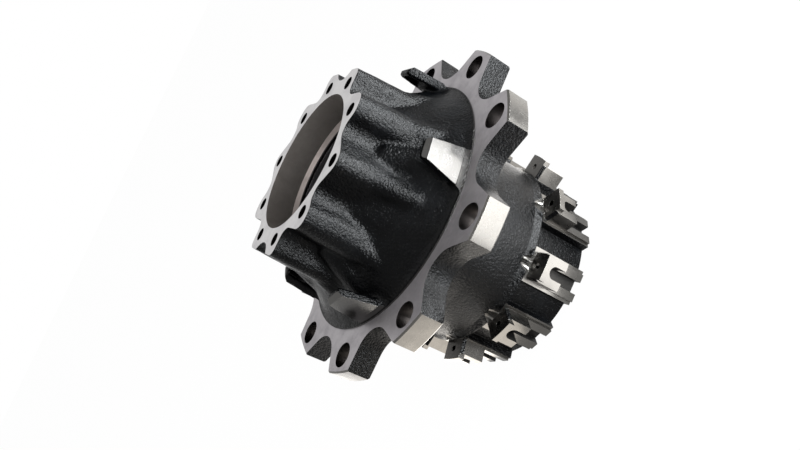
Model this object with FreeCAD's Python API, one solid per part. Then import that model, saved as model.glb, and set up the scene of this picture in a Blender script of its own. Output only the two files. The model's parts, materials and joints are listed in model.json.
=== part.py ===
import FreeCAD
import Part
import math
import os

# Wheel hub, one casting. Millimetres, +Z points outboard, z = 0 is the face the wheel seats on.
# The pattern of ten repeats every 36 degrees. Lobes, studs, end holes and drive lugs sit at
# 18 + 36 k degrees, scallops at 36 k degrees, the five wheel pilots at 72 k degrees.

# Overall heights and the pattern
END_FACE_Z = 106.0
INBOARD_END_Z = -185.0
COUNT = 10
FIRST_DEG = 18.0

# Wheel flange
FLANGE_R = 186.0
FLANGE_THICK = 25.0
FLANGE_EDGE_CHAMFER = 1.6
STUD_TO_RIM = 18.5
STUD_PITCH_R = FLANGE_R - STUD_TO_RIM
STUD_HOLE_R = 13.0
SCALLOP_INSIDE_STUDS = 15.5
SCALLOP_BOTTOM_R = STUD_PITCH_R - SCALLOP_INSIDE_STUDS
SCALLOP_ARC_R = 28.0
SCALLOP_HALF_ANGLE_DEG = 39.0

# Wheel pilots
PILOT_COUNT = 5
PILOT_R = 140.5
PILOT_THICK = 10.5
PILOT_BACK_R = PILOT_R - PILOT_THICK
PILOT_TOP_Z = 48.0
PILOT_CHAMFER = 4.5
PILOT_HALF_AT_ROOT = 20.4
PILOT_HALF_AT_TOP = 9.8
PILOT_RELIEF = 1.3
PILOT_RELIEF_Z = 8.5
POCKET_DEPTH = 4.5
POCKET_Z0 = 24.0
POCKET_Z1 = 44.0
POCKET_HALF_AT_Z0 = 10.5
POCKET_HALF_AT_Z1 = 6.0
PILOT_BACK_ROUND = 3.0

# Barrel, the lobed sleeve outboard of the flange; its walls lean out by the draft at their foot
BARREL_DRAFT = 7.2
BARREL_FOOT_Z = 4.0
NOTCH_R = 23.3
NOTCH_CENTRE_X = 114.3
END_HOLE_PITCH_R = 89.35
END_HOLE_R = 7.0
END_HOLE_DEPTH = 38.0

# Machined step at the foot of the pilots, then the cast cone as (radius, z) up into the valleys
STEP_HEIGHT = 1.5
CONE = [(PILOT_R - 4.7, STEP_HEIGHT), (107.2, 36.0), (96.0, 55.0), (86.0, 78.0)]

# Sleeve inside, from the end face inwards
PILOT_BORE_R = 75.3
PILOT_BORE_END_Z = 76.0
OUTER_SEAT_R = 71.5
OUTER_SEAT_TOP_Z = 71.5
OUTER_SEAT_END_Z = 18.0
RELIEF_DEPTH = 1.2
RELIEF_WIDTH = 3.0
OUTER_SHOULDER_R = 64.0
OUTER_SHOULDER_LENGTH = 8.0
CAVITY_R = 84.0
INNER_SHOULDER_R = 70.0
INNER_SHOULDER_LENGTH = 6.0
INNER_SEAT_R = 80.0
INNER_SEAT_TOP_Z = -112.0
SEAL_SEAT_R = 84.0
SEAL_SEAT_TOP_Z = -168.0

# Drum inboard of the flange
DRUM_R = 103.0
DRUM_FOOT_R = 106.0
DRUM_FOOT_Z = -119.5
DRUM_FOOT_SPREAD = 8.0
RECESS_R = 97.0
WEB_ROUND = 45.0
WEB_BANDS = 4

# Ten disc drive lugs
LUG_FACE_Z = -123.2
LUG_TOP_R = 121.0
LUG_HALF = 15.2
LUG_BLOCK_END_Z = -152.0
LIP_HEIGHT = 5.0
LIP_THICK = 6.5
SHOULDER_WIDTH = 1.8
SHOULDER_DROP = 3.6
RAIL_HALF = 18.8
RAIL_R = 103.6
LEDGE_R = 106.0
SLOT_HALF = 6.6
SLOT_TOP_Z = -134.0
SLOT_FLOOR_R = 97.0
SPOTFACE_R = 16.0
SPOTFACE_CENTRE_R = 118.5
TAB_HOLE_R = 3.3
TAB_HOLE_PITCH_R = 114.0
TAB_HOLE_DEPTH = 10.0

ZED = FreeCAD.Vector(0, 0, 1)
ORIGIN = FreeCAD.Vector(0, 0, 0)


def vec(x, y, z=0.0):
    return FreeCAD.Vector(x, y, z)


def turned(shape, degrees):
    copy = shape.copy()
    copy.rotate(ORIGIN, ZED, degrees)
    return copy


def revolved(points):
    """Solid of revolution about Z from (radius, z) points."""
    wire = Part.makePolygon([vec(r, 0, z) for r, z in points + points[:1]])
    return Part.Face(wire).revolve(ORIGIN, ZED, 360)


def drafted_prism(corners, foot_z, top_z, draft):
    """Solid over a rounded outline of (x, y, radius) corners, wider by the draft at its foot.

    Each rounded corner is a true cone about an upright axis, each side between them a plane.
    """
    bends = []
    total = len(corners)
    for i in range(total):
        cx, cy, radius = corners[i]
        corner = vec(cx, cy)
        before = vec(*corners[i - 1][:2]) - corner
        after = vec(*corners[(i + 1) % total][:2]) - corner
        before.normalize()
        after.normalize()
        half = before.getAngle(after) / 2.0
        reach = radius / math.tan(half)
        inward = before + after
        inward.normalize()
        centre = corner + inward * (radius / math.sin(half))
        convex = before.cross(after).z < 0
        foot_radius = radius + draft if convex else radius - draft
        sides = []
        for along in (before, inward, after):
            touch = corner + along * reach if along is not inward else centre - inward * radius
            spoke = (touch - centre).normalize()
            sides.append((centre + spoke * foot_radius + vec(0, 0, foot_z), touch + vec(0, 0, top_z)))
        turn = math.degrees(math.pi - 2.0 * half)
        bends.append((centre, sides, turn if convex else -turn))
    walls = []
    foot_edges = []
    top_edges = []
    for i in range(total):
        centre, sides, turn = bends[i]
        start, middle, end = sides
        following = bends[(i + 1) % total][1][0]
        walls.append(Part.makeLine(start[0], start[1]).revolve(centre, ZED, turn))
        walls.append(Part.Face(Part.makePolygon([end[0], following[0], following[1], end[1], end[0]])))
        for edges, level in ((foot_edges, 0), (top_edges, 1)):
            edges.append(Part.Arc(start[level], middle[level], end[level]).toShape())
            edges.append(Part.makeLine(end[level], following[level]))
    caps = [Part.Face(Part.Wire(foot_edges)), Part.Face(Part.Wire(top_edges))]
    shell = Part.makeShell(walls + caps)
    shell.sewShape()
    solid = Part.makeSolid(shell)
    if solid.Volume < 0:
        solid.reverse()
    return solid


# Quarter of the barrel outline at the end face, from the -Y tip round to the +X side.
TIP = (0.0, -107.5, 12.6)
QUARTER = [
    (26.5, -80.3, 11.0),
    (38.5, -80.0, 9.0),
    (48.5, -88.0, 7.0),
    (69.6, -88.0, 13.0),
    (69.6, -42.0, 13.0),
    (101.0, -42.0, 8.0),
    (101.0, 0.0, 0.0),
]


def barrel():
    """Ten-lobed drafted sleeve with the round notches at 0 and 180 degrees."""
    lower_right = QUARTER[:-1]
    upper_right = [(x, -y, r) for x, y, r in reversed(lower_right)]
    upper_left = [(-x, -y, r) for x, y, r in lower_right]
    lower_left = [(-x, y, r) for x, y, r in reversed(lower_right)]
    top_tip = (0.0, -TIP[1], TIP[2])
    corners = [TIP] + lower_right + upper_right + [top_tip] + upper_left + lower_left
    body = drafted_prism(corners, BARREL_FOOT_Z, END_FACE_Z, BARREL_DRAFT)
    for centre_x in (NOTCH_CENTRE_X, -NOTCH_CENTRE_X):
        base = vec(centre_x, 0, BARREL_FOOT_Z)
        body = body.cut(Part.makeCone(NOTCH_R - BARREL_DRAFT, NOTCH_R, END_FACE_Z - BARREL_FOOT_Z, base))
    return body


def core():
    """Turned envelope: drum, rounded web in narrow bands, flange disc, step and cone."""
    web = []
    for i in range(WEB_BANDS + 1):
        turn = math.radians(90.0 * i / WEB_BANDS)
        r = DRUM_R + WEB_ROUND * (1.0 - math.cos(turn))
        web.append((r, -FLANGE_THICK - WEB_ROUND * (1.0 - math.sin(turn))))
    inside_r = OUTER_SHOULDER_R - 4.0
    return revolved([
        (inside_r, CONE[-1][1]),
        (inside_r, INBOARD_END_Z),
        (RECESS_R, INBOARD_END_Z),
        (RECESS_R, DRUM_FOOT_Z),
        (DRUM_FOOT_R, DRUM_FOOT_Z),
        (DRUM_R, DRUM_FOOT_Z + DRUM_FOOT_SPREAD),
    ] + web + [
        (FLANGE_R - FLANGE_EDGE_CHAMFER, -FLANGE_THICK),
        (FLANGE_R, -FLANGE_THICK + FLANGE_EDGE_CHAMFER),
        (FLANGE_R, -FLANGE_EDGE_CHAMFER),
        (FLANGE_R - FLANGE_EDGE_CHAMFER, 0.0),
        (PILOT_R, 0.0),
        (PILOT_R, STEP_HEIGHT),
    ] + CONE)


def scallop():
    """Cutter for one scallop, on the +X axis."""
    half = math.radians(SCALLOP_HALF_ANGLE_DEG)
    centre_x = SCALLOP_BOTTOM_R + SCALLOP_ARC_R
    tangent_x = centre_x - SCALLOP_ARC_R * math.sin(half)
    tangent_y = SCALLOP_ARC_R * math.cos(half)
    far_x = FLANGE_R + 12.0
    far_y = tangent_y + (far_x - tangent_x) * math.tan(half)
    low = vec(tangent_x, -tangent_y, -FLANGE_THICK - 1.0)
    bottom = vec(SCALLOP_BOTTOM_R, 0, -FLANGE_THICK - 1.0)
    high = vec(tangent_x, tangent_y, -FLANGE_THICK - 1.0)
    far_high = vec(far_x, far_y, -FLANGE_THICK - 1.0)
    far_low = vec(far_x, -far_y, -FLANGE_THICK - 1.0)
    edges = [
        Part.Arc(low, bottom, high).toShape(),
        Part.makeLine(high, far_high),
        Part.makeLine(far_high, far_low),
        Part.makeLine(far_low, low),
    ]
    return Part.Face(Part.Wire(edges)).extrude(vec(0, 0, FLANGE_THICK + 2.0))


def side_prism(outline, x0, x1):
    """Solid from a (y, z) outline, swept along X from x0 to x1."""
    wire = Part.makePolygon([vec(x0, y, z) for y, z in outline + outline[:1]])
    return Part.Face(wire).extrude(vec(x1 - x0, 0, 0))


def is_back_edge(edge):
    """True for the three edges of a pilot's back face that stand clear of the flange."""
    on_back = all(abs(vertex.X - PILOT_BACK_R) < 0.01 for vertex in edge.Vertexes)
    return on_back and edge.BoundBox.ZMax > 0.0


def pilot():
    """One wheel pilot, on the +X axis, and the cutter for the hollow in its back."""
    slope = (PILOT_HALF_AT_ROOT - PILOT_HALF_AT_TOP) / PILOT_TOP_Z
    sunk = FLANGE_THICK / 2.0
    root = PILOT_HALF_AT_ROOT + slope * sunk
    outline = [(-root, -sunk), (root, -sunk), (PILOT_HALF_AT_TOP, PILOT_TOP_Z), (-PILOT_HALF_AT_TOP, PILOT_TOP_Z)]
    block = side_prism(outline, PILOT_BACK_R, PILOT_R + 5.0)
    back_edges = [edge for edge in block.Edges if is_back_edge(edge)]
    block = block.makeFillet(PILOT_BACK_ROUND, back_edges)
    relief_r = PILOT_R - PILOT_RELIEF
    inside_r = PILOT_BACK_R - PILOT_THICK
    turned_limit = revolved([
        (inside_r, -FLANGE_THICK),
        (relief_r, -FLANGE_THICK),
        (relief_r, PILOT_RELIEF_Z - PILOT_RELIEF),
        (PILOT_R, PILOT_RELIEF_Z),
        (PILOT_R, PILOT_TOP_Z - PILOT_CHAMFER),
        (PILOT_R - PILOT_CHAMFER, PILOT_TOP_Z),
        (inside_r, PILOT_TOP_Z),
    ])
    block = block.common(turned_limit)
    hollow = [
        (-POCKET_HALF_AT_Z0, POCKET_Z0),
        (POCKET_HALF_AT_Z0, POCKET_Z0),
        (POCKET_HALF_AT_Z1, POCKET_Z1),
        (-POCKET_HALF_AT_Z1, POCKET_Z1),
    ]
    pocket = side_prism(hollow, PILOT_BACK_R - 12.0, PILOT_BACK_R + POCKET_DEPTH)
    return block, pocket


def box(x0, x1, half, z0, z1):
    return Part.makeBox(x1 - x0, 2 * half, z1 - z0, vec(x0, -half, z0))


def lug():
    """One disc drive lug, on the +X axis: rails, ledges, block with cast shoulders, lip."""
    inner = RECESS_R - 6.0
    top = LUG_TOP_R + LIP_HEIGHT
    lip_half = LUG_HALF - SHOULDER_WIDTH
    rails = box(inner, RAIL_R, RAIL_HALF, INBOARD_END_Z, DRUM_FOOT_Z)
    ledges = box(inner, LEDGE_R, LUG_HALF, INBOARD_END_Z, LUG_FACE_Z - SHOULDER_DROP)
    outline = [
        (-LUG_HALF, LUG_BLOCK_END_Z), (LUG_HALF, LUG_BLOCK_END_Z), (LUG_HALF, LUG_FACE_Z - SHOULDER_DROP),
        (lip_half, LUG_FACE_Z), (-lip_half, LUG_FACE_Z), (-LUG_HALF, LUG_FACE_Z - SHOULDER_DROP),
    ]
    wire = Part.makePolygon([vec(inner, y, z) for y, z in outline + outline[:1]])
    block = Part.Face(wire).extrude(vec(top - inner, 0, 0)).common(turned_rod(LUG_TOP_R))
    lip = box(inner, top + LIP_HEIGHT, lip_half, LUG_FACE_Z - LIP_THICK, LUG_FACE_Z).common(turned_rod(top))
    return block.fuse([ledges, lip, rails])


def turned_rod(radius):
    """Cylinder about the axis that a turned face of the lugs lies on."""
    return Part.makeCylinder(radius, LUG_FACE_Z - INBOARD_END_Z, vec(0, 0, INBOARD_END_Z))


def lug_cuts():
    """Cutters for one lug: the U slot, the spotface above the tab and the tab hole."""
    reach = LUG_TOP_R + 2.0 * LIP_HEIGHT - SLOT_FLOOR_R
    slot_centre_z = SLOT_TOP_Z - SLOT_HALF
    slot = box(SLOT_FLOOR_R, SLOT_FLOOR_R + reach, SLOT_HALF, INBOARD_END_Z - 2.0, slot_centre_z)
    crown = Part.makeCylinder(SLOT_HALF, reach, vec(SLOT_FLOOR_R, 0, slot_centre_z), vec(1, 0, 0))
    spotface = Part.makeCylinder(SPOTFACE_R, 12.0, vec(SPOTFACE_CENTRE_R, 0, LUG_FACE_Z))
    hole = Part.makeCylinder(TAB_HOLE_R, TAB_HOLE_DEPTH, vec(TAB_HOLE_PITCH_R, 0, LUG_FACE_Z - TAB_HOLE_DEPTH))
    return [slot, crown, spotface, hole]


def bore_tool():
    """Everything that is hollow or turned away inside the hub."""
    inner_shoulder_z = INNER_SEAT_TOP_Z + INNER_SHOULDER_LENGTH
    outer_shoulder_z = OUTER_SEAT_END_Z - OUTER_SHOULDER_LENGTH
    relief_r = OUTER_SEAT_R + RELIEF_DEPTH
    relief_top_z = OUTER_SEAT_TOP_Z - RELIEF_DEPTH
    return revolved([
        (0.0, INBOARD_END_Z - 1.0),
        (SEAL_SEAT_R, INBOARD_END_Z - 1.0),
        (SEAL_SEAT_R, SEAL_SEAT_TOP_Z),
        (INNER_SEAT_R, SEAL_SEAT_TOP_Z),
        (INNER_SEAT_R, INNER_SEAT_TOP_Z),
        (INNER_SHOULDER_R, INNER_SEAT_TOP_Z),
        (INNER_SHOULDER_R, inner_shoulder_z),
        (CAVITY_R, inner_shoulder_z),
        (CAVITY_R, outer_shoulder_z),
        (OUTER_SHOULDER_R, outer_shoulder_z),
        (OUTER_SHOULDER_R, OUTER_SEAT_END_Z),
        (OUTER_SEAT_R, OUTER_SEAT_END_Z),
        (OUTER_SEAT_R, relief_top_z - RELIEF_WIDTH),
        (relief_r, relief_top_z - RELIEF_WIDTH),
        (relief_r, relief_top_z),
        (OUTER_SEAT_R, relief_top_z),
        (OUTER_SEAT_R, OUTER_SEAT_TOP_Z),
        (PILOT_BORE_R, PILOT_BORE_END_Z),
        (PILOT_BORE_R, END_FACE_Z + 1.0),
        (0.0, END_FACE_Z + 1.0),
    ])


def end_hole():
    """Cutter for one blind hole in the end face, on the +X axis."""
    return Part.makeCylinder(END_HOLE_R, END_HOLE_DEPTH + 1.0, vec(END_HOLE_PITCH_R, 0, END_FACE_Z - END_HOLE_DEPTH))


def stud_hole():
    """Cutter for one stud hole through the flange, on the +X axis."""
    return Part.makeCylinder(STUD_HOLE_R, FLANGE_THICK + 2.0, vec(STUD_PITCH_R, 0, -FLANGE_THICK - 1.0))


def wheel_hub():
    """The whole hub: turned core, barrel, lugs and pilots, then everything machined away."""
    pitch = 360.0 / COUNT
    pilot_pitch = 360.0 / PILOT_COUNT
    block, pocket = pilot()
    pilots = [turned(block, pilot_pitch * k) for k in range(PILOT_COUNT)]
    pockets = [turned(pocket, pilot_pitch * k) for k in range(PILOT_COUNT)]
    one_lug = lug()
    lugs = [turned(one_lug, FIRST_DEG + pitch * k) for k in range(COUNT)]
    body = core().fuse([barrel()] + lugs + pilots)
    cutters = [bore_tool()] + pockets
    at_each_lobe = [stud_hole(), end_hole()] + lug_cuts()
    one_scallop = scallop()
    for k in range(COUNT):
        cutters.append(turned(one_scallop, pitch * k))
        cutters += [turned(tool, FIRST_DEG + pitch * k) for tool in at_each_lobe]
    return body.cut(cutters).removeSplitter()


os.makedirs("parts", exist_ok=True)
hub = wheel_hub()
hub.exportStep("parts/wheel_hub.step")
print("solids", len(hub.Solids), "valid", hub.isValid(), "faces", len(hub.Faces), "volume cm3", hub.Volume / 1000)
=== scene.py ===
"""Looks of the wheel hub: cast skin, turned and milled faces, studio light, camera."""
import json
import logging
import math
from dataclasses import dataclass
from enum import Enum
from typing import Callable, Dict, List, Optional, Sequence, Tuple, Union

import bpy
from mathutils import Matrix, Vector

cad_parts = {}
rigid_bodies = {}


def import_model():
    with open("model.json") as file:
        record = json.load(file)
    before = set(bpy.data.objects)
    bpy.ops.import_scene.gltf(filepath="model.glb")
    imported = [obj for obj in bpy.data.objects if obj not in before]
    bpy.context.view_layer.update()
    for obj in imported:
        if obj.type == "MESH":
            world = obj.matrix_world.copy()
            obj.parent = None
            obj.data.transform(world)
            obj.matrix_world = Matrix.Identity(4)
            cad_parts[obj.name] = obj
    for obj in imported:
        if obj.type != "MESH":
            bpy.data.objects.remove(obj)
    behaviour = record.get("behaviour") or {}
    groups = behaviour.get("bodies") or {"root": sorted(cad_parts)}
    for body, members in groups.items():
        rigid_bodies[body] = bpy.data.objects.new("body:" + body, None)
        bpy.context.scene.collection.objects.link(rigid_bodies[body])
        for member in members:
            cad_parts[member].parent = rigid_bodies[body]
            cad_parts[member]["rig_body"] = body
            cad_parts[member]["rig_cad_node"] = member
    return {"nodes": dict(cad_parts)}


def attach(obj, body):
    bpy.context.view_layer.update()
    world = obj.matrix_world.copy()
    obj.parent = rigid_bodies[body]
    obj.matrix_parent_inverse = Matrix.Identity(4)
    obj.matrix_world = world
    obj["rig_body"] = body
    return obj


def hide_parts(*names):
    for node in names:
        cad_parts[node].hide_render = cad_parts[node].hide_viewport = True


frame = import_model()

LOG = logging.getLogger("wheel_hub")
NODE = "wheel_hub"
BODY = "root"

# The lobes, end holes, stud holes and lugs stand on ten rays from the axis, in degrees.
RAYS = 10
FIRST_RAY = 18.0
RAY_STEP = 36.0
# The five pilots stand between them, the first one at 0 degrees.
PILOTS = 5
PILOT_STEP = 72.0

# The two pieces meet at this height, just above the step at the foot of the pilots, in metres.
JOINT_HEIGHT = 0.0016

# Corners of the CAD node closer than this are the same, in metres.
WELD = 0.00001

# Heights of the CAD node, in metres.
END_FACE = 0.106
FLANGE_BACK = -0.025
SEATS_TOP = -0.105
LUG_LEDGE = -0.1195
LUG_FACE = -0.1232
SLOT_TOP = -0.134
INBOARD_END = -0.185

# Radii and half widths of the CAD node, in metres.
RIM_INSIDE = 0.1843
STUD_PITCH_RADIUS = 0.1675
STUD_HOLE_RADIUS = 0.013
PILOT_RADIUS = 0.1405
PILOT_RELIEF_RADIUS = 0.1392
STEP_INSIDE = 0.1358
SPOTFACE_PITCH_RADIUS = 0.1185
SPOTFACE_RADIUS = 0.016
RECESS_RADIUS = 0.097
SEAL_SEAT_RADIUS = 0.084
INNER_SHOULDER_RADIUS = 0.07
RAIL_HALF = 0.0188
SLOT_HALF = 0.0066

Colour = Tuple[float, float, float]


def ray_angle(index: int) -> float:
    """Azimuth of one of the ten rays, in radians."""
    return math.radians(FIRST_RAY + RAY_STEP * index)


def nearest_ray(place: Vector) -> float:
    """Azimuth of the ray that is nearest to a place, in radians."""
    azimuth = math.degrees(math.atan2(place.y, place.x))
    return ray_angle(round((azimuth - FIRST_RAY) / RAY_STEP))


def point_on_ray(azimuth: float, reach: float) -> Vector:
    """The point on a ray at this distance from the axis, seen from above.

    Args:
        azimuth: the ray's azimuth, in radians.
        reach: the distance, in metres.

    Returns:
        Its x and y.
    """
    return Vector((reach * math.cos(azimuth), reach * math.sin(azimuth)))


class Wire:
    """One node output, with arithmetic that adds Math nodes."""

    def __init__(self, graph: "Graph", socket: bpy.types.NodeSocket) -> None:
        """Keeps the graph and the socket."""
        self.graph = graph
        self.socket = socket

    def _math(self, operation: str, first: "Value", second: "Value") -> "Wire":
        """Adds one Math node.

        Args:
            operation: the Math node's operation.
            first: its first input.
            second: its second input.

        Returns:
            The node's output.
        """
        return self.graph.node("ShaderNodeMath", {"operation": operation}, {0: first, 1: second})

    def __add__(self, other: "Value") -> "Wire":
        """Sum."""
        return self._math("ADD", self, other)

    def __radd__(self, other: "Value") -> "Wire":
        """Sum, from the right."""
        return self._math("ADD", other, self)

    def __sub__(self, other: "Value") -> "Wire":
        """Difference."""
        return self._math("SUBTRACT", self, other)

    def __rsub__(self, other: "Value") -> "Wire":
        """Difference, from the right."""
        return self._math("SUBTRACT", other, self)

    def __mul__(self, other: "Value") -> "Wire":
        """Product."""
        return self._math("MULTIPLY", self, other)

    def __pow__(self, other: "Value") -> "Wire":
        """Power."""
        return self._math("POWER", self, other)

    def larger(self, other: "Value") -> "Wire":
        """The larger of the two."""
        return self._math("MAXIMUM", self, other)

    def between(self, low: float, high: float) -> "Wire":
        """Smooth step.

        Args:
            low: where the result is 0.
            high: where the result is 1.

        Returns:
            A value from 0 to 1.
        """
        settings = {"interpolation_type": "SMOOTHSTEP", "clamp": True}
        return self.graph.node("ShaderNodeMapRange", settings, {0: self, 1: low, 2: high, 3: 0.0, 4: 1.0})


Value = Union[float, Wire]


class Graph:
    """The node tree of one material."""

    def __init__(self, name: str) -> None:
        """Makes a material that has only an output and the object coordinates.

        Args:
            name: the material's name.
        """
        self.material = bpy.data.materials.new(name)
        self.material.use_nodes = True
        self.tree = self.material.node_tree
        self.tree.nodes.clear()
        self.output = self.tree.nodes.new("ShaderNodeOutputMaterial")
        coordinates = self.tree.nodes.new("ShaderNodeTexCoord")
        self.place = Wire(self, coordinates.outputs["Object"])

    def node(self, kind: str, settings: Dict[str, object], inputs: Dict[Union[int, str], object],
             output: Union[int, str] = 0) -> Wire:
        """Adds a node.

        Args:
            kind: the node's type.
            settings: its properties.
            inputs: value or link of each socket.
            output: which output is wanted.

        Returns:
            That output.
        """
        made = self.tree.nodes.new(kind)
        for key, value in settings.items():
            setattr(made, key, value)
        for key, value in inputs.items():
            if isinstance(value, Wire):
                self.tree.links.new(value.socket, made.inputs[key])
            else:
                made.inputs[key].default_value = value
        return Wire(self, made.outputs[output])

    def axes(self) -> Tuple[Wire, Wire, Wire]:
        """X, Y and Z of the object coordinates, in metres."""
        parts = [self.node("ShaderNodeSeparateXYZ", {}, {0: self.place}, axis) for axis in range(3)]
        return parts[0], parts[1], parts[2]

    def radius(self) -> Wire:
        """Distance from the hub's axis, in metres."""
        x, y, _ = self.axes()
        return (x * x + y * y) ** 0.5

    def stretched(self, scale: Tuple[float, float, float]) -> Wire:
        """Object coordinates scaled along each axis."""
        inputs = {"Vector": self.place, "Scale": scale}
        return self.node("ShaderNodeMapping", {"vector_type": "POINT"}, inputs)

    def noise(self, scale: float, detail: float, rough: float = 0.55,
              vector: Optional[Wire] = None) -> Wire:
        """Noise on the object coordinates.

        Args:
            scale: cells per metre.
            detail: octaves.
            rough: strength of the finer octaves.
            vector: other coordinates, if any.

        Returns:
            A value about 0.5.
        """
        inputs = {"Vector": vector or self.place, "Scale": scale, "Detail": detail, "Roughness": rough}
        return self.node("ShaderNodeTexNoise", {}, inputs, "Fac")

    def line_noise(self, along: Wire, scale: float) -> Wire:
        """Noise that changes with one value only, such as turning marks with the radius.

        Args:
            along: the value.
            scale: cells per metre.

        Returns:
            A value about 0.5.
        """
        inputs = {"W": along, "Scale": scale, "Detail": 3.0}
        return self.node("ShaderNodeTexNoise", {"noise_dimensions": "1D"}, inputs, "Fac")

    def grains(self, scale: float) -> Wire:
        """Softened distance to the nearest of scattered points, in cells."""
        inputs = {"Vector": self.place, "Scale": scale, "Smoothness": 0.6}
        return self.node("ShaderNodeTexVoronoi", {"feature": "SMOOTH_F1"}, inputs, "Distance")

    def mix(self, factor: Value, first: Union[Colour, Wire], second: Union[Colour, Wire]) -> Wire:
        """Mixes two colours.

        Args:
            factor: share of the second.
            first: the first colour.
            second: the second colour.

        Returns:
            The mixed colour.
        """
        sides = [side if isinstance(side, Wire) else (*side, 1.0) for side in (first, second)]
        return self.node("ShaderNodeMix", {"data_type": "RGBA"}, {0: factor, 6: sides[0], 7: sides[1]}, 2)

    def bump(self, height: Wire, distance: float, strength: float, normal: Wire) -> Wire:
        """Bump from a height.

        Args:
            height: the height, in units of the distance.
            distance: metres that one unit stands for.
            strength: share of the effect.
            normal: the normal to start from.

        Returns:
            The bumped normal.
        """
        inputs = {"Height": height, "Distance": distance, "Strength": strength, "Normal": normal}
        return self.node("ShaderNodeBump", {}, inputs, "Normal")

    def rounded_normal(self, radius: float) -> Wire:
        """Normal as if the edges had this radius."""
        return self.node("ShaderNodeBevel", {"samples": 6}, {"Radius": radius}, "Normal")

    def edge(self, radius: float) -> Wire:
        """Mask of the sharp edges.

        Args:
            radius: width of the band on each side, in metres.

        Returns:
            0 on faces and up to 1 at edges.
        """
        soft = self.rounded_normal(radius)
        plain = self.node("ShaderNodeNewGeometry", {}, {}, "Normal")
        same = self.node("ShaderNodeVectorMath", {"operation": "DOT_PRODUCT"}, {0: soft, 1: plain}, "Value")
        return (1.0 - same).between(0.02, 0.2)

    def finish(self, settings: Dict[str, object]) -> bpy.types.Material:
        """Adds the shader and gives the material.

        Args:
            settings: value or link of each socket of the shader.

        Returns:
            The material.
        """
        shader = self.node("ShaderNodeBsdfPrincipled", {}, settings, "BSDF")
        self.tree.links.new(shader.socket, self.output.inputs["Surface"])
        return self.material


class Marks(Enum):
    """Which way the tool went over a machined face."""

    RINGS = "rings about the axis, changing with the radius"
    BANDS = "bands about the axis, changing with the height"
    MILLED = "straight strokes along the axis"


@dataclass(frozen=True)
class CastSkin:
    """Dark coat over sand-cast iron."""

    name: str = "cast_skin"
    deep: Colour = (0.0002, 0.00023, 0.0003)
    worn: Colour = (0.0013, 0.0015, 0.0018)
    grain_per_m: float = 450.0
    lump_per_m: float = 75.0
    pit_per_m: float = 95.0
    patch_per_m: float = 24.0
    speck_per_m: float = 620.0
    grain_depth: float = 0.00095
    lump_depth: float = 0.0006
    corner_radius: float = 0.0014
    roughness: float = 0.2
    reflection: float = 0.066

    def material(self) -> bpy.types.Material:
        """Builds the coat."""
        graph = Graph(self.name)
        lumps = graph.noise(self.lump_per_m, 2.0)
        grain = graph.noise(self.grain_per_m * 1.9, 2.0, 0.6)
        pebbles = graph.grains(self.grain_per_m)
        pits = 1.0 - graph.grains(self.pit_per_m).between(0.06, 0.16)
        patches = graph.noise(self.patch_per_m, 3.0).between(0.46, 0.68)
        specks = graph.noise(self.speck_per_m, 2.0).between(0.62, 0.74)
        height = grain * 0.5 - pebbles * 0.5 - pits * 0.2
        wide = graph.bump(lumps, self.lump_depth, 0.8, graph.rounded_normal(self.corner_radius))
        return graph.finish({
            "Base Color": graph.mix(patches * 0.55 + specks * 0.45, self.deep, self.worn),
            "Roughness": self.roughness + grain * 0.12 + patches * 0.05,
            "Specular IOR Level": self.reflection,
            "Normal": graph.bump(height, self.grain_depth, 1.0, wide),
        })


@dataclass(frozen=True)
class Machined:
    """Bare iron, turned or milled, with a painted highlight along its sharp edges, partly also standing for
    worn bright edges.
    """

    name: str
    face: Colour
    shade: Colour
    marks: Marks
    roughness: float
    blotch: float = 0.6
    depth: float = 0.00003
    marks_per_m: float = 900.0
    stain_per_m: float = 42.0
    # Strength and width of the painted highlight along the sharp edges.
    edge_highlight_share: float = 0.25
    edge_width: float = 0.0006
    corner_radius: float = 0.0002

    def _tool_marks(self, graph: Graph) -> Wire:
        """Fine marks of the tool, about 0.5.

        Args:
            graph: the node tree.

        Returns:
            Their height.
        """
        if self.marks is Marks.RINGS:
            return graph.line_noise(graph.radius(), self.marks_per_m)
        if self.marks is Marks.BANDS:
            return graph.line_noise(graph.axes()[2], self.marks_per_m)
        return graph.noise(self.marks_per_m, 2.0, 0.5, graph.stretched((1.0, 1.0, 0.03)))

    def material(self) -> bpy.types.Material:
        """Builds the finish."""
        graph = Graph(self.name)
        fine = self._tool_marks(graph)
        stain = graph.noise(self.stain_per_m, 4.0, 0.6).between(0.36, 0.68)
        cloud = graph.noise(self.stain_per_m * 3.3, 3.0, 0.6)
        shade = stain * self.blotch + (fine - 0.5) * 0.35 + (cloud - 0.5) * 0.3
        ground = graph.mix(shade.larger(0.0), self.face, self.shade)
        # Painted highlight: along sharp edges the base colour mixes towards twice the face colour, for the
        # catch-lights on the arrises and partly for worn bright edges.
        edge_highlight = tuple(min(1.0, channel * 2.0) for channel in self.face)
        return graph.finish({
            "Base Color": graph.mix(graph.edge(self.edge_width) * self.edge_highlight_share, ground, edge_highlight),
            "Metallic": 1.0,
            "Roughness": self.roughness + (cloud - 0.5) * 0.18 + stain * 0.06,
            "Normal": graph.bump(fine, self.depth, 1.0, graph.rounded_normal(self.corner_radius)),
        })


def deselect() -> None:
    """Leaves nothing selected."""
    bpy.ops.object.select_all(action="DESELECT")


def only(piece: bpy.types.Object) -> None:
    """Selects one object and makes it active."""
    deselect()
    piece.select_set(True)
    bpy.context.view_layer.objects.active = piece


def join(pieces: Sequence[bpy.types.Object]) -> None:
    """Joins objects into the first one.

    Args:
        pieces: the objects.
    """
    deselect()
    for piece in pieces:
        piece.select_set(True)
    bpy.context.view_layer.objects.active = pieces[0]
    bpy.ops.object.join()


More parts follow.
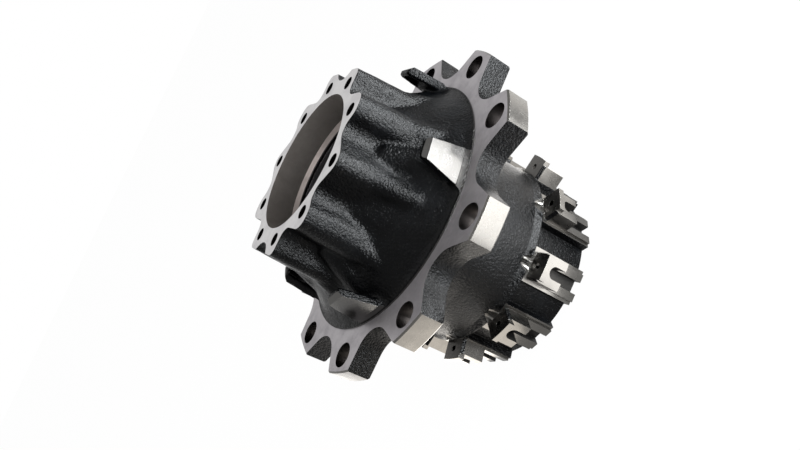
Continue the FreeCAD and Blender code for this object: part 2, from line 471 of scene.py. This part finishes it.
def node_copy(name: str) -> bpy.types.Object:
    """Copies the CAD node into an object of its own, with its triangles merged.

    Args:
        name: the new object's name.

    Returns:
        The copy, at the origin.
    """
    source = frame["nodes"][NODE]
    piece = source.copy()
    piece.data = source.data.copy()
    piece.name = name
    piece.data.name = name
    piece.parent = None
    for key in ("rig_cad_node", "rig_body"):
        if key in piece:
            del piece[key]
    piece.matrix_world = Matrix.Identity(4)
    bpy.context.scene.collection.objects.link(piece)
    only(piece)
    bpy.ops.object.mode_set(mode="EDIT")
    bpy.ops.mesh.select_all(action="SELECT")
    bpy.ops.mesh.remove_doubles(threshold=WELD)
    bpy.ops.object.mode_set(mode="OBJECT")
    return piece


def cut_across(piece: bpy.types.Object, height: float, keep_above: bool) -> None:
    """Cuts a piece at a height and leaves the cut open.

    Args:
        piece: the piece.
        height: where, in metres.
        keep_above: which side stays.
    """
    only(piece)
    bpy.ops.object.mode_set(mode="EDIT")
    bpy.ops.mesh.select_all(action="SELECT")
    bpy.ops.mesh.bisect(plane_co=(0.0, 0.0, height), plane_no=(0.0, 0.0, 1.0), use_fill=False,
                        clear_inner=keep_above, clear_outer=not keep_above)
    bpy.ops.object.mode_set(mode="OBJECT")


def apply_modifier(piece: bpy.types.Object, kind: str, **settings: object) -> None:
    """Adds a modifier with its settings and applies it.

    Args:
        piece: the piece.
        kind: the modifier's type.
        settings: its properties.
    """
    only(piece)
    modifier = piece.modifiers.new(kind.lower(), kind)
    for key, value in settings.items():
        setattr(modifier, key, value)
    bpy.ops.object.modifier_apply(modifier=modifier.name)


def lathe(name: str, profile: Sequence[Tuple[float, float]], finishes: Sequence[bpy.types.Material],
          steps: int) -> bpy.types.Object:
    """Turns a closed (radius, height) profile into a solid.

    Args:
        name: the object's name.
        profile: its corners; the edge after corner i gets finish i.
        finishes: one finish for each edge.
        steps: segments round the axis.

    Returns:
        The solid, at the origin.
    """
    deselect()
    bpy.ops.mesh.primitive_plane_add(size=0.01)
    solid = bpy.context.active_object
    solid.name = name
    corners = [Vector((radius, 0.0, height)) for radius, height in profile]
    solid.data.clear_geometry()
    edges = [(index, (index + 1) % len(corners)) for index in range(len(corners))]
    solid.data.from_pydata(corners, edges, [])
    bpy.ops.object.mode_set(mode="EDIT")
    bpy.ops.mesh.select_all(action="SELECT")
    bpy.ops.mesh.spin(steps=steps, angle=math.tau, center=(0.0, 0.0, 0.0), axis=(0.0, 0.0, 1.0))
    bpy.ops.mesh.select_all(action="SELECT")
    bpy.ops.mesh.remove_doubles(threshold=0.000001)
    bpy.ops.mesh.normals_make_consistent(inside=False)
    bpy.ops.object.mode_set(mode="OBJECT")
    order: List[bpy.types.Material] = []
    for finish in finishes:
        if finish not in order:
            order.append(finish)
            solid.data.materials.append(finish)
    for polygon in solid.data.polygons:
        middle = polygon.center
        spot = Vector((middle.xy.length, middle.z))
        nearest = min(range(len(edges)), key=lambda index: _distance_to_edge(spot, profile, index))
        polygon.material_index = order.index(finishes[nearest])
    return solid


def _distance_to_edge(spot: Vector, profile: Sequence[Tuple[float, float]], index: int) -> float:
    """Distance of a (radius, height) spot from one edge of a profile."""
    start = Vector(profile[index])
    end = Vector(profile[(index + 1) % len(profile)])
    along = end - start
    share = max(0.0, min(1.0, (spot - start).dot(along) / max(along.length_squared, 1e-12)))
    return (start + along * share - spot).length


def subtract(piece: bpy.types.Object, tool: bpy.types.Object) -> None:
    """Cuts the tool out of the piece; the cut faces take the tool's finish.

    Args:
        piece: the piece.
        tool: the cutter, deleted afterwards.
    """
    apply_modifier(piece, "BOOLEAN", operation="DIFFERENCE", object=tool, solver="EXACT",
                   material_mode="TRANSFER")
    bpy.data.objects.remove(tool)


class Face:
    """One face of the CAD node, with tests of the surface that it lies on."""

    # How far a corner may lie off its surface, in metres.
    hair = 0.0001
    tolerance = 0.00012
    margin = 0.0002
    wall_margin = 0.0003
    milled_margin = 0.0004
    inner_margin = 0.0005
    under_flange = 0.001
    # Round walls of the spotfaces: top, range of the lowest corner, height of the run-out, in metres.
    wall_top = -0.1115
    crescent_low = (-0.1242, -0.113)
    fillet = 0.004
    # Parts of a unit normal.
    level = 0.9995
    nearly_upright = 0.02
    mostly_outward = 0.8
    slope = (0.2, 0.8)
    across_limit = 0.08
    fillet_tilt = 0.9
    # Spread of a turned face along its normal, in metres, and the least area of a flat one.
    turned_spread = 0.00006
    flat_area = 0.000008

    def __init__(self, mesh: bpy.types.Mesh, polygon: bpy.types.MeshPolygon) -> None:
        """Reads the face.

        Args:
            mesh: the mesh.
            polygon: the face.
        """
        self.corners = [mesh.vertices[index].co.copy() for index in polygon.vertices]
        self.normal = polygon.normal.copy()
        self.middle = polygon.center.copy()
        self.area = polygon.area
        heights = [corner.z for corner in self.corners]
        radii = [corner.xy.length for corner in self.corners]
        self.low = min(heights)
        self.high = max(heights)
        self.inner = min(radii)
        self.outer = max(radii)

    def at_height(self, height: float) -> bool:
        """True if every corner is at this height."""
        return height - self.tolerance < self.low and self.high < height + self.tolerance

    def at_radius(self, radius: float) -> bool:
        """True if every corner is at this radius."""
        return radius - self.tolerance < self.inner and self.outer < radius + self.tolerance

    def beside_ray(self) -> List[float]:
        """Distance of each corner from the upright plane through the nearest ray."""
        return [
            abs(corner.xy.length * math.sin(math.atan2(corner.y, corner.x) - nearest_ray(corner)))
            for corner in self.corners
        ]

    def from_axis(self, pitch_radius: float) -> List[float]:
        """Distance of each corner from the upright axis on the nearest ray at this radius."""
        return [
            (corner.xy - point_on_ray(nearest_ray(corner), pitch_radius)).length
            for corner in self.corners
        ]

    def is_stud_hole(self) -> bool:
        """True for the walls of the stud holes."""
        close = max(self.from_axis(STUD_PITCH_RADIUS)) < STUD_HOLE_RADIUS + self.hair
        return close and self.low > FLANGE_BACK - self.under_flange

    def is_flange_face(self) -> bool:
        """True for the two turned faces of the flange."""
        return self.at_height(0.0) or self.at_height(FLANGE_BACK)

    def is_rim(self) -> bool:
        """True for the rim of the flange and its chamfers."""
        return self.inner > RIM_INSIDE

    def is_pilot_face(self) -> bool:
        """True for faces at the pilots' radius, from the flange up."""
        return self.low > -self.hair and self.at_radius(PILOT_RADIUS)

    def is_step(self) -> bool:
        """True for the machined step at the foot of the pilots."""
        thin = self.low > -self.hair and self.high < JOINT_HEIGHT + self.hair
        inside = self.outer < PILOT_RADIUS + self.margin
        return thin and inside and self.inner > STEP_INSIDE - self.margin

    def is_pilot_relief(self) -> bool:
        """True for the relief at the foot of the pilots' outer faces."""
        return self.normal.xy.length > self.mostly_outward and self.at_radius(PILOT_RELIEF_RADIUS)

    def is_inner_seat(self) -> bool:
        """True for the inner bearing seat with its shoulder, and for the seal seat."""
        inside = self.outer < SEAL_SEAT_RADIUS + self.margin
        outside = self.inner > INNER_SHOULDER_RADIUS - self.inner_margin
        return inside and outside and self.high < SEATS_TOP

    def is_inboard_end(self) -> bool:
        """True for the turned face at the inboard end."""
        return self.at_height(INBOARD_END)

    def is_slot(self) -> bool:
        """True for the walls and the floor of the open slot in a lug."""
        between = max(self.beside_ray()) < SLOT_HALF + self.margin
        below = self.high < SLOT_TOP + self.hair
        return between and below and self.outer > RECESS_RADIUS - self.margin

    def is_dark_side(self) -> bool:
        """True for the slopes beside a lug's front and the walls between rails and recesses, which get the
        near-black coat.
        """
        sloping = self.slope[0] < self.normal.z < self.slope[1]
        if sloping and self.high < LUG_FACE + self.margin:
            return True
        return all(abs(offset - RAIL_HALF) < self.tolerance for offset in self.beside_ray())

    def on_lugs(self) -> bool:
        """True for every face of the lugs and the rails."""
        return self.high < LUG_LEDGE + self.margin and self.inner > RECESS_RADIUS - self.inner_margin

    def is_milled(self) -> bool:
        """True for the milled faces of the lugs and the rails."""
        milled = self.low < LUG_FACE + self.milled_margin and not self.at_radius(RECESS_RADIUS)
        return milled and self.on_lugs()

    def on_spotface_wall(self) -> bool:
        """True for faces on the round wall of the spotface over a lug's tab."""
        reaches = self.from_axis(SPOTFACE_PITCH_RADIUS)
        return all(abs(reach - SPOTFACE_RADIUS) < self.wall_margin for reach in reaches)

    def is_crescent(self) -> bool:
        """True for the part of that wall that starts at the tab."""
        return self.crescent_low[0] < self.low < self.crescent_low[1] and self.on_spotface_wall()

    def exact_normals(self) -> Optional[List[Vector]]:
        """Exact normals for the corners, by the kind of surface.

        Returns:
            One normal for each corner, or None where the smooth ones are right.
        """
        if abs(self.normal.z) > self.level:
            return [self.normal.copy() for _ in self.corners]
        upright = abs(self.normal.z) < self.nearly_upright
        if upright and self.high < self.wall_top and self.on_spotface_wall():
            return [self._spotface_normal(corner) for corner in self.corners]
        outward = self.middle.xy.normalized()
        out = self.normal.xy.dot(outward)
        across = abs(self.normal.x * outward.y - self.normal.y * outward.x)
        profile = [corner.xy.length * out + corner.z * self.normal.z for corner in self.corners]
        if across < self.across_limit and max(profile) - min(profile) < self.turned_spread:
            return [self._turned_normal(corner, out) for corner in self.corners]
        if self.on_lugs() and self.area > self.flat_area:
            return [self.normal.copy() for _ in self.corners]
        return None

    def _spotface_normal(self, corner: Vector) -> Vector:
        """Inward normal of the spotface's wall, tilted up where the wall runs into the tab."""
        centre = point_on_ray(nearest_ray(corner), SPOTFACE_PITCH_RADIUS)
        inward = (centre - corner.xy).normalized()
        rise = max(0.0, min(1.0, (corner.z - LUG_FACE) / self.fillet))
        return Vector((inward.x, inward.y, self.fillet_tilt * (1.0 - rise))).normalized()

    def _turned_normal(self, corner: Vector, out: float) -> Vector:
        """Normal of a cylinder or cone about the hub's axis.

        Args:
            corner: where.
            out: outward part of the face's normal.

        Returns:
            The normal.
        """
        flat = corner.xy.normalized() * out
        return Vector((flat.x, flat.y, self.normal.z)).normalized()


def true_normals(piece: bpy.types.Object) -> None:
    """Gives flat and turned faces their exact normals.

    Args:
        piece: the piece, already shaded smooth by angle.
    """
    mesh = piece.data
    normals = [Vector(corner.vector) for corner in mesh.corner_normals]
    for polygon in mesh.polygons:
        exact = Face(mesh, polygon).exact_normals()
        if exact is not None:
            for index, normal in zip(polygon.loop_indices, exact):
                normals[index] = normal
    mesh.normals_split_custom_set(normals)


class Finishes:
    """Every finish of the hub, made once."""

    def __init__(self) -> None:
        """Builds the materials."""
        rings = Marks.RINGS
        bands = Marks.BANDS
        self.cast = CastSkin().material()
        self.end_ring = Machined("end_ring_turned", (0.5, 0.49, 0.49), (0.36, 0.35, 0.36), rings,
                                 0.34).material()
        self.flange = Machined("flange_turned", (0.31, 0.295, 0.305), (0.19, 0.18, 0.19), rings,
                               0.46).material()
        self.rim = Machined("rim_turned", (0.098, 0.094, 0.088), (0.078, 0.075, 0.07), bands, 0.24,
                            blotch=0.4).material()
        self.pilot = Machined("pilot_turned", (0.08, 0.078, 0.075), (0.069, 0.067, 0.065), bands, 0.2,
                              blotch=0.3).material()
        self.bore = Machined("bore_turned", (0.36, 0.335, 0.315), (0.24, 0.22, 0.205), bands, 0.42,
                             depth=0.00001).material()
        self.seat = Machined("seat_ground", (0.3, 0.295, 0.305), (0.24, 0.235, 0.245), bands, 0.3,
                             depth=0.000005).material()
        self.mouth = Machined("bore_mouth", (0.2, 0.175, 0.165), (0.14, 0.122, 0.115), bands,
                              0.36).material()
        self.lug = Machined("lug_milled", (0.098, 0.094, 0.088), (0.075, 0.071, 0.066), Marks.MILLED,
                            0.26, blotch=0.4).material()
        # Drilled holes and the bore's relief groove: near-black bare iron, painted shade inside the holes
        # and the groove.
        self.hole = Machined("hole_painted_shade", (0.034, 0.031, 0.03), (0.016, 0.014, 0.014), bands,
                             0.3).material()
        # Lug slots: near-black milled metal, painted shade in the narrow slots.
        self.slot = Machined("slot_painted_shade", (0.022, 0.021, 0.02), (0.012, 0.012, 0.012), Marks.MILLED,
                             0.5).material()


@dataclass(frozen=True)
class Rib:
    """A sloping round rib: reach from the axis, height and radius of its two ends."""

    low_reach: float
    low_height: float
    low_radius: float
    high_reach: float
    high_height: float
    high_radius: float


@dataclass(frozen=True)
class Unevenness:
    """One layer of soft bumps: texture name, size of a bump and height between extremes."""

    name: str
    size: float
    strength: float


@dataclass
class BarrelCasting:
    """Lobed barrel, cone and pilots: a rough casting, then the machined cuts. Sizes are in metres."""

    finishes: Finishes
    buried: float = 0.006
    stock: float = 0.004
    slack: float = 0.0001
    voxel: float = 0.0014
    filling_rounds: int = 60
    evening_rounds: int = 4
    outer_wear: float = 0.22
    lumps: Unevenness = Unevenness("lumps", 0.02, 0.0009)
    sand: Unevenness = Unevenness("sand", 0.0036, 0.00022)
    pad_root: Rib = Rib(0.112, 0.006, 0.019, 0.082, 0.062, 0.014)
    column_foot: Rib = Rib(0.111, 0.008, 0.013, 0.087, 0.085, 0.0115)
    plug_lap: float = 0.003
    hole_plug_lap: float = 0.0015
    outside: float = 0.16
    clear: float = 0.02
    foot_height: float = 0.0002
    bore_overrun: float = 0.01
    bore_radius: float = 0.0753
    seat_radius: float = 0.0715
    relief_radius: float = 0.0727
    mouth_low: float = 0.0715
    mouth_high: float = 0.076
    relief_low: float = 0.0673
    relief_high: float = 0.0703
    pilot_relief_height: float = 0.0085
    pilot_relief: float = 0.0013
    pilot_top: float = 0.048
    pilot_chamfer: float = 0.0045
    pilot_cut_low: float = -0.004
    hole_radius: float = 0.007
    hole_pitch_radius: float = 0.08935
    hole_depth: float = 0.038
    rib_sides: int = 40
    plug_sides: int = 64
    drill_sides: int = 40
    face_steps: int = 48
    bore_steps: int = 144
    pilot_steps: int = 240
    smooth_below_deg: float = 35.0

    def build(self) -> bpy.types.Object:
        """Makes the casting.

        Returns:
            The finished piece.
        """
        piece = self._rough_block()
        self._soften(piece)
        self._machine_barrel(piece)
        self._machine_pilots(piece)
        self._drill_end_holes(piece)
        only(piece)
        bpy.ops.object.shade_smooth_by_angle(angle=math.radians(self.smooth_below_deg))
        return piece

    def _rough_block(self) -> bpy.types.Object:
        """The part above the flange with its bores filled and stock on its machined faces.

        Returns:
            The block.
        """
        piece = node_copy("hub_barrel")
        piece.data.materials.clear()
        piece.data.materials.append(self.finishes.cast)
        cut_across(piece, JOINT_HEIGHT, keep_above=True)
        bpy.ops.object.mode_set(mode="EDIT")
        bpy.ops.mesh.select_all(action="DESELECT")
        bpy.ops.mesh.select_non_manifold()
        bpy.ops.mesh.extrude_edges_move(TRANSFORM_OT_translate={"value": (0.0, 0.0, -self.buried)})
        bpy.ops.mesh.select_all(action="SELECT")
        bpy.ops.mesh.fill_holes(sides=0)
        bpy.ops.object.mode_set(mode="OBJECT")
        self._add_stock(piece)
        bore_low = JOINT_HEIGHT - self.buried
        parts = [piece, self._plug(Vector((0.0, 0.0)), self.bore_radius + self.plug_lap, bore_low)]
        hole_low = END_FACE - self.hole_depth - self.plug_lap
        for index in range(RAYS):
            place = point_on_ray(ray_angle(index), self.hole_pitch_radius)
            parts.append(self._plug(place, self.hole_radius + self.hole_plug_lap, hole_low))
        for index in range(PILOTS):
            parts.append(self._rib(math.radians(PILOT_STEP * index), self.pad_root))
        for index in range(RAYS):
            parts.append(self._rib(ray_angle(index), self.column_foot))
        join(parts)
        apply_modifier(piece, "REMESH", mode="VOXEL", voxel_size=self.voxel, use_smooth_shade=True)
        return piece

    def _add_stock(self, piece: bpy.types.Object) -> None:
        """Raises the end face and thickens the pilots outward, for the cuts to take off.

        Args:
            piece: the part above the flange.
        """
        thick_from = PILOT_RADIUS - self.pilot_chamfer - self.slack
        for vertex in piece.data.vertices:
            if vertex.co.z > END_FACE - self.slack:
                vertex.co.z += self.stock
            flat = vertex.co.xy
            if flat.length > thick_from and vertex.co.z > JOINT_HEIGHT + self.slack:
                grown = flat * ((PILOT_RADIUS + self.stock) / flat.length)
                vertex.co.x = grown.x
                vertex.co.y = grown.y

    def _rib(self, azimuth: float, size: Rib) -> bpy.types.Object:
        """A sloping round rib on the cone.

        Args:
            azimuth: where it is, in radians.
            size: its ends.

        Returns:
            The rib.
        """
        across = Vector((math.cos(azimuth), math.sin(azimuth), 0.0))
        low = across * size.low_reach + Vector((0.0, 0.0, size.low_height))
        high = across * size.high_reach + Vector((0.0, 0.0, size.high_height))
        turn = (high - low).to_track_quat("Z", "Y").to_euler()
        deselect()
        bpy.ops.mesh.primitive_cone_add(vertices=self.rib_sides, radius1=size.low_radius,
                                        radius2=size.high_radius, depth=(high - low).length,
                                        location=(high + low) / 2.0, rotation=turn)
        rib = bpy.context.active_object
        bpy.ops.object.transform_apply(location=True, rotation=True, scale=True)
        return rib

    def _plug(self, place: Vector, radius: float, low: float) -> bpy.types.Object:
        """A cylinder that fills a bore up to the stock.

        Args:
            place: x and y of its axis.
            radius: its radius.
            low: its lower end.

        Returns:
            The cylinder.
        """
        high = END_FACE + self.stock
        deselect()
        bpy.ops.mesh.primitive_cylinder_add(vertices=self.plug_sides, radius=radius, depth=high - low,
                                            location=(place.x, place.y, (high + low) / 2.0))
        plug = bpy.context.active_object
        bpy.ops.object.transform_apply(location=True, rotation=True, scale=True)
        return plug

    def _soften(self, piece: bpy.types.Object) -> None:
        """Fills the inner corners, wears the outer ones less, and adds the mould's unevenness.

        Args:
            piece: the voxel mesh.
        """
        before = [vertex.co.copy() for vertex in piece.data.vertices]
        normals = [vertex.normal.copy() for vertex in piece.data.vertices]
        apply_modifier(piece, "SMOOTH", factor=0.5, iterations=self.filling_rounds)
        for vertex, start, normal in zip(piece.data.vertices, before, normals):
            move = vertex.co - start
            if move.dot(normal) < 0.0:
                vertex.co = start + move * self.outer_wear
        apply_modifier(piece, "SMOOTH", factor=0.5, iterations=self.evening_rounds)
        for layer in (self.lumps, self.sand):
            texture = bpy.data.textures.new(layer.name, "CLOUDS")
            texture.noise_scale = layer.size
            texture.noise_depth = 1
            apply_modifier(piece, "DISPLACE", texture=texture, texture_coords="LOCAL",
                           strength=layer.strength, mid_level=0.5)

    def _machine_barrel(self, piece: bpy.types.Object) -> None:
        """Cuts the end face, the foot, and the bore with its bearing seat.

        Args:
            piece: the soft casting.
        """
        f = self.finishes
        far = self.outside
        high = END_FACE + self.stock + self.clear
        end_cut = [(0.0, END_FACE), (far, END_FACE), (far, high), (0.0, high)]
        subtract(piece, lathe("end_cut", end_cut, [f.end_ring] * len(end_cut), self.face_steps))
        low = JOINT_HEIGHT - self.buried - self.clear
        foot_cut = [(0.0, low), (far, low), (far, self.foot_height), (0.0, self.foot_height)]
        subtract(piece, lathe("foot_cut", foot_cut, [f.cast] * len(foot_cut), self.face_steps))
        bore_top = END_FACE + self.bore_overrun
        bore = [
            (0.0, -self.bore_overrun), (self.seat_radius, -self.bore_overrun),
            (self.seat_radius, self.relief_low), (self.relief_radius, self.relief_low),
            (self.relief_radius, self.relief_high), (self.seat_radius, self.relief_high),
            (self.seat_radius, self.mouth_low), (self.bore_radius, self.mouth_high),
            (self.bore_radius, bore_top), (0.0, bore_top),
        ]
        # The relief groove takes the holes' near-black finish: painted shade in the groove.
        sides = [f.seat, f.seat, f.hole, f.hole, f.hole, f.seat, f.mouth, f.bore, f.bore, f.bore]
        subtract(piece, lathe("bore_cut", bore, sides, self.bore_steps))

    def _machine_pilots(self, piece: bpy.types.Object) -> None:
        """Turns the pilots' outer faces with their chamfer and relief.

        Args:
            piece: the soft casting.
        """
        far = self.outside
        high = self.pilot_top + self.clear
        chamfer_inside = PILOT_RADIUS - self.pilot_chamfer
        ring = [
            (far, self.pilot_cut_low), (far, high), (chamfer_inside - self.clear, high),
            (chamfer_inside, self.pilot_top), (PILOT_RADIUS, self.pilot_top - self.pilot_chamfer),
            (PILOT_RADIUS, self.pilot_relief_height),
            (PILOT_RELIEF_RADIUS, self.pilot_relief_height - self.pilot_relief),
            (PILOT_RELIEF_RADIUS, self.pilot_cut_low),
        ]
        finish = [self.finishes.pilot] * len(ring)
        subtract(piece, lathe("pilot_cut", ring, finish, self.pilot_steps))

    def _drill_end_holes(self, piece: bpy.types.Object) -> None:
        """Drills the ten holes of the end face.

        Args:
            piece: the soft casting.
        """
        drills = []
        for index in range(RAYS):
            place = point_on_ray(ray_angle(index), self.hole_pitch_radius)
            deselect()
            bpy.ops.mesh.primitive_cylinder_add(vertices=self.drill_sides, radius=self.hole_radius,
                                                depth=self.hole_depth * 2.0,
                                                location=(place.x, place.y, END_FACE))
            drills.append(bpy.context.active_object)
            drills[-1].data.materials.append(self.finishes.hole)
        join(drills)
        bpy.ops.object.transform_apply(location=True, rotation=True, scale=True)
        subtract(piece, drills[0])


@dataclass
class Region:
    """Faces that share a finish."""

    finish: bpy.types.Material
    test: Callable[[Face], bool]


class FlangeAndDrum:
    """The casting from the step of the flange down, as a copy of the CAD node."""

    flat_within_deg = 0.3
    smooth_below_deg = 28.0

    def __init__(self, finishes: Finishes) -> None:
        """Copies the node and keeps its lower part.

        Args:
            finishes: the hub's finishes.
        """
        self.finishes = finishes
        self.piece = node_copy("hub_flange_and_drum")
        cut_across(self.piece, JOINT_HEIGHT, keep_above=False)
        bpy.ops.object.mode_set(mode="EDIT")
        bpy.ops.mesh.select_all(action="DESELECT")
        bpy.ops.mesh.select_non_manifold()
        bpy.ops.mesh.fill(use_beauty=True)
        bpy.ops.mesh.select_all(action="SELECT")
        bpy.ops.mesh.dissolve_limited(angle_limit=math.radians(self.flat_within_deg))
        bpy.ops.object.mode_set(mode="OBJECT")
        bpy.ops.object.shade_smooth_by_angle(angle=math.radians(self.smooth_below_deg))
        true_normals(self.piece)

    def regions(self) -> List[Region]:
        """Each finish with the test of the faces that get it; the first that fits wins."""
        f = self.finishes
        return [
            Region(f.hole, Face.is_stud_hole),
            Region(f.flange, Face.is_flange_face),
            Region(f.rim, Face.is_rim),
            Region(f.pilot, Face.is_pilot_face),
            Region(f.flange, Face.is_step),
            Region(f.pilot, Face.is_pilot_relief),
            Region(f.seat, Face.is_inner_seat),
            Region(f.lug, Face.is_inboard_end),
            Region(f.slot, Face.is_slot),
            Region(f.cast, Face.is_dark_side),
            Region(f.lug, Face.is_milled),
            Region(f.lug, Face.is_crescent),
        ]

    def dress(self) -> bpy.types.Object:
        """Gives every face its finish, and the cast coat where no test fits.

        Returns:
            The piece.
        """
        mesh = self.piece.data
        mesh.materials.clear()
        regions = self.regions()
        order: List[bpy.types.Material] = []
        for region in regions:
            if region.finish not in order:
                order.append(region.finish)
                mesh.materials.append(region.finish)
        for polygon in mesh.polygons:
            face = Face(mesh, polygon)
            finish = next((region.finish for region in regions if region.test(face)), self.finishes.cast)
            polygon.material_index = order.index(finish)
        return self.piece


def hand_over(piece: bpy.types.Object) -> None:
    """Declares a finished piece to the frame.

    Args:
        piece: the piece.
    """
    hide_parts(NODE)
    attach(piece, BODY)
    LOG.info("%s: %d faces", piece.name, len(piece.data.polygons))


def area_light(name: str, width: float, height: float, radiance: float, colour: Colour) -> bpy.types.Object:
    """Adds a rectangular light at the origin.

    Args:
        name: its name.
        width: its first side.
        height: its second side.
        radiance: how bright its face is, where 1 is white.
        colour: its colour.

    Returns:
        The light.
    """
    data = bpy.data.lights.new(name, "AREA")
    data.shape = "RECTANGLE"
    data.size = width
    data.size_y = height
    data.energy = radiance * math.pi * width * height
    data.color = colour
    lamp = bpy.data.objects.new(name, data)
    bpy.context.scene.collection.objects.link(lamp)
    return lamp


@dataclass
class FloorPanel:
    """A light board lying on the floor beside the hub, facing up."""

    x_range: Tuple[float, float]
    y_range: Tuple[float, float]
    radiance: float
    colour: Colour = (1.0, 1.0, 1.0)

    def add(self, name: str) -> None:
        """Adds the board.

        Args:
            name: the light's name.
        """
        width = self.x_range[1] - self.x_range[0]
        depth = self.y_range[1] - self.y_range[0]
        lamp = area_light(name, width, depth, self.radiance, self.colour)
        height = Studio.floor_height + Studio.board_lift
        lamp.location = (sum(self.x_range) / 2.0, sum(self.y_range) / 2.0, height)
        lamp.rotation_euler = (math.pi, 0.0, 0.0)


@dataclass
class Panel:
    """One soft rectangular light, aimed at the hub. Angles are in degrees, lengths in metres."""

    azimuth: float
    elevation: float
    distance: float
    width: float
    height: float
    radiance: float
    colour: Colour = (1.0, 1.0, 1.0)

    def add(self, name: str) -> None:
        """Adds the light.

        Args:
            name: the light's name.
        """
        turn = math.radians(self.azimuth)
        rise = math.radians(self.elevation)
        place = Vector((math.cos(rise) * math.cos(turn), math.cos(rise) * math.sin(turn), math.sin(rise)))
        place *= self.distance
        lamp = area_light(name, self.width, self.height, self.radiance, self.colour)
        lamp.location = place
        lamp.rotation_euler = (-place).to_track_quat("-Z", "Y").to_euler()


class Studio:
    """Pale floor, soft light and the camera."""

    white = (1.0, 1.0, 1.0, 1.0)
    floor_height = -0.1852
    floor_size = 14.0
    floor_colour = (0.85, 0.85, 0.85, 1.0)
    floor_white_share = 0.985
    board_lift = 0.0001
    world_level = 0.2
    sensor_mm = 36.0
    clip_start = 0.01
    focal_px = 724.295
    frame_px = (800.0, 450.0)
    centre_px = (362.208, 235.030)
    camera_place = (-0.101481, -0.705358, 0.298440)
    right = (0.417775, -0.371084, -0.829313)
    down = (-0.905045, -0.089867, -0.415714)
    ahead = (0.079737, 0.924241, -0.373392)

    def build(self) -> None:
        """Sets up floor, world, lights and camera."""
        self._floor()
        self._world()
        FloorPanel((-0.03, 0.22), (-0.75, -0.14), 8.5).add("front_low")
        FloorPanel((0.22, 0.52), (-0.8, -0.24), 8.5).add("key_low")
        FloorPanel((-0.5, -0.11), (-0.34, 0.1), 4.4, (1.0, 0.94, 0.86)).add("side_low")
        FloorPanel((-0.5, -0.1), (0.12, 0.5), 1.5, (1.0, 0.96, 0.91)).add("back_low")
        FloorPanel((0.13, 0.55), (-0.13, 0.2), 1.8, (1.0, 0.96, 0.91)).add("far_low")
        Panel(-52.0, -5.0, 1.0, 1.7, 0.32, 84.0, (0.94, 0.975, 1.0)).add("key_upright")
        Panel(0.0, 88.0, 2.4, 2.0, 2.0, 2.4).add("overhead")
        self._camera()
        bpy.context.scene.view_settings.view_transform = "Standard"

    def _shown_white(self, graph: Graph, lit: Wire, share: float) -> Wire:
        """Mixes a shader with plain white for what is seen directly or mirrored.

        Args:
            graph: the node tree.
            lit: the shader that takes light and shadow.
            share: share of plain white.

        Returns:
            The mixed shader.
        """
        camera = graph.node("ShaderNodeLightPath", {}, {}, "Is Camera Ray")
        glossy = graph.node("ShaderNodeLightPath", {}, {}, "Is Glossy Ray")
        through = graph.node("ShaderNodeLightPath", {}, {}, "Is Transmission Ray")
        seen = camera.larger(glossy).larger(through)
        white = graph.node("ShaderNodeEmission", {}, {"Color": self.white, "Strength": 1.0})
        return graph.node("ShaderNodeMixShader", {}, {0: seen * share, 1: lit, 2: white})

    def _floor(self) -> None:
        """A wide pale floor under the hub."""
        deselect()
        bpy.ops.mesh.primitive_plane_add(size=self.floor_size, location=(0.0, 0.0, self.floor_height))
        floor = bpy.context.active_object
        floor.name = "floor"
        graph = Graph("floor_paint")
        lit = graph.node("ShaderNodeBsdfDiffuse", {}, {"Color": self.floor_colour}, "BSDF")
        mixed = self._shown_white(graph, lit, self.floor_white_share)
        graph.tree.links.new(mixed.socket, graph.output.inputs["Surface"])
        floor.data.materials.append(graph.material)

    def _world(self) -> None:
        """Even light all round, which shows as plain white where it is seen or mirrored."""
        world = bpy.data.worlds.new("surround")
        bpy.context.scene.world = world
        world.use_nodes = True
        tree = world.node_tree
        tree.nodes.clear()
        output = tree.nodes.new("ShaderNodeOutputWorld")
        light = tree.nodes.new("ShaderNodeBackground")
        light.inputs["Color"].default_value = self.white
        light.inputs["Strength"].default_value = self.world_level
        white = tree.nodes.new("ShaderNodeBackground")
        white.inputs["Color"].default_value = self.white
        white.inputs["Strength"].default_value = 1.0
        path = tree.nodes.new("ShaderNodeLightPath")
        seen = path.outputs["Is Camera Ray"]
        for kind in ("Glossy", "Transmission"):
            either = tree.nodes.new("ShaderNodeMath")
            either.operation = "MAXIMUM"
            tree.links.new(seen, either.inputs[0])
            tree.links.new(path.outputs[f"Is {kind} Ray"], either.inputs[1])
            seen = either.outputs[0]
        mixed = tree.nodes.new("ShaderNodeMixShader")
        tree.links.new(seen, mixed.inputs[0])
        tree.links.new(light.outputs[0], mixed.inputs[1])
        tree.links.new(white.outputs[0], mixed.inputs[2])
        tree.links.new(mixed.outputs[0], output.inputs["Surface"])

    def _camera(self) -> None:
        """The camera at the photograph's viewing angle."""
        data = bpy.data.cameras.new("camera")
        camera = bpy.data.objects.new("camera", data)
        bpy.context.scene.collection.objects.link(camera)
        matrix = Matrix.Identity(4)
        for row in range(3):
            matrix[row][0] = self.right[row]
            matrix[row][1] = -self.down[row]
            matrix[row][2] = -self.ahead[row]
            matrix[row][3] = self.camera_place[row]
        camera.matrix_world = matrix
        width, height = self.frame_px
        data.sensor_width = self.sensor_mm
        data.lens = self.focal_px / width * data.sensor_width
        data.shift_x = (width / 2.0 - self.centre_px[0]) / width
        data.shift_y = (self.centre_px[1] - height / 2.0) / width
        data.clip_start = self.clip_start
        bpy.context.scene.camera = camera


def main() -> None:
    """Builds the casting's looks and the studio."""
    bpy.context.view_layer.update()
    finishes = Finishes()
    pieces = [BarrelCasting(finishes).build(), FlangeAndDrum(finishes).dress()]
    for piece in pieces:
        hand_over(piece)
    Studio().build()


if __name__ == "__main__":
    logging.basicConfig(level=logging.INFO)
    main()
